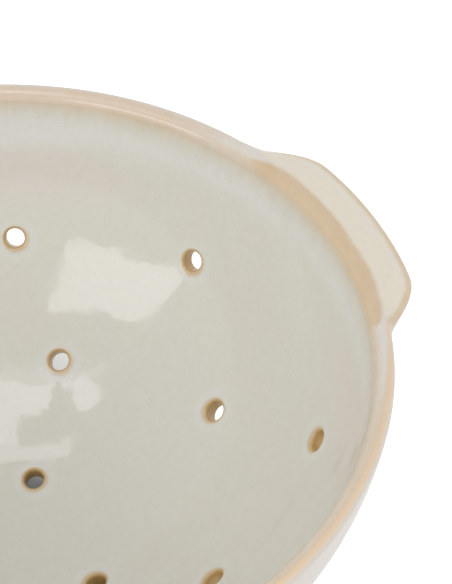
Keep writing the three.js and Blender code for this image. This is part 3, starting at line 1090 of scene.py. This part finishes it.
# Studio
FLOOR_SIDE = 12.0
FLOOR_CELLS = 8
FLOOR_GLOW = 0.5  # how much of its white is its own glow, where it is seen directly
MIRROR_LIFT = 0.3  # and the share of that in its reflection
FULL_GLOW_RADIUS = 106 * MM  # outside which that holds
PAINTED_SHADOW_GLOW = 0.06  # and how much of it is left under the bowl, where the missing glow paints a shadow
PAINTED_SHADOW_RADIUS = 80 * MM  # inside which that holds
# Centre of the painted shadow, set towards the back
PAINTED_SHADOW_CENTRE = (-10 * MM, 25 * MM, 0)
SKY_LEVEL = 1.08  # the sky's light from the side
SKY_ABOVE = 0.5  # and from straight above
SKY_FRONT = (0.73, -0.67, 0.12)  # where the sky is brighter
SKY_FRONT_LIGHT = 0.26
WINDOW_COLOUR = (1.0, 0.985, 1.03)
TOP_COLOUR = (0.97, 1.0, 1.14)
TOP_HEIGHT = 1.3
TOP_TURN = -30
DOWN = (0, 0, -1)
SOFTBOXES = [
    # name, place, direction it shines in, turn about that, width, height, brightness, colour
    ("window", (-0.964, -0.225, 0.720), (0.604, 0.777, 0.179), 0, 0.818, 0.545, 3.1, WINDOW_COLOUR),
    ("top_front", (-0.249, -0.201, TOP_HEIGHT), DOWN, TOP_TURN, 0.525, 0.2, 3.1, TOP_COLOUR),
    ("top_side", (-0.694, 0.050, TOP_HEIGHT), DOWN, -3, 0.24, 0.26, 3.0, TOP_COLOUR),
    ("top_fade", (-0.508, -0.222, TOP_HEIGHT), DOWN, TOP_TURN, 0.95, 0.08, 1.2, TOP_COLOUR),
    ("top_middle", (-0.068, -0.076, TOP_HEIGHT), DOWN, TOP_TURN, 0.34, 0.2, 3.0, TOP_COLOUR),
    ("top_back", (-0.138, 0.160, TOP_HEIGHT), DOWN, TOP_TURN, 0.69, 0.12, 2.2, TOP_COLOUR),
]


def make_floor():
    mesh = bpy.data.meshes.new("floor")
    work = bmesh.new()
    bmesh.ops.create_grid(work, x_segments=FLOOR_CELLS, y_segments=FLOOR_CELLS, size=FLOOR_SIDE / 2)
    work.to_mesh(mesh)
    work.free()
    floor = add_object("floor", mesh)
    mesh.materials.append(floor_white())


def make_softbox(name, place, direction, turn, width, height, brightness, colour):
    lamp = bpy.data.lights.new(name, "AREA")
    lamp.shape = "RECTANGLE"
    lamp.size = width
    lamp.size_y = height
    lamp.energy = brightness * math.pi * width * height
    lamp.color = colour
    box = add_object(name, lamp)
    box.location = place
    facing = Vector(direction).to_track_quat("-Z", "Y")
    box.rotation_euler = (facing @ Quaternion((0, 0, 1), math.radians(turn))).to_euler()


def make_sky():
    world = bpy.data.worlds.new("studio")
    bpy.context.scene.world = world
    nodes = Nodes(world, "Background", "Generated")
    nodes.shader.inputs["Color"].default_value = (1, 1, 1, 1)
    parts = nodes.tree.nodes.new("ShaderNodeSeparateXYZ")
    nodes.link(nodes.place, parts.inputs["Vector"])
    light = nodes.remap(parts.outputs["Z"], 0.0, 1.0, SKY_LEVEL, SKY_ABOVE, "LINEAR")
    front = nodes.remap(nodes.from_place("DOT_PRODUCT", SKY_FRONT), 0.0, 1.0, 0.0, SKY_FRONT_LIGHT)
    nodes.link(nodes.math("ADD", light, front), nodes.shader.inputs["Strength"])


def make_camera():
    data = bpy.data.cameras.new("camera")
    data.lens = CAMERA_LENS
    data.sensor_width = CAMERA_SENSOR
    camera = add_object("camera", data)
    camera.location = CAMERA_PLACE
    facing = Euler((math.radians(CAMERA_TILT), 0, math.radians(CAMERA_HEADING))).to_quaternion()
    camera.rotation_euler = (facing @ Quaternion((0, 0, 1), math.radians(CAMERA_ROLL))).to_euler()
    bpy.context.scene.camera = camera


def dress(piece, node, material):
    """A finished piece takes its node's place on the part."""
    piece.data.materials.append(material)
    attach(piece, "root")
    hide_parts(node)


make_camera()
dress(make_bowl(), "bowl", bowl_glaze())
lug_finish = handle_glaze()
dress(make_lug("right_lug", 0.0), "handle_right", lug_finish)
dress(make_lug("left_lug", math.pi), "handle_left", lug_finish)
dress(make_foot(), "foot_ring", foot_glaze())
make_floor()
make_sky()
for softbox in SOFTBOXES:
    make_softbox(*softbox)
bpy.context.scene.view_settings.view_transform = "Standard"
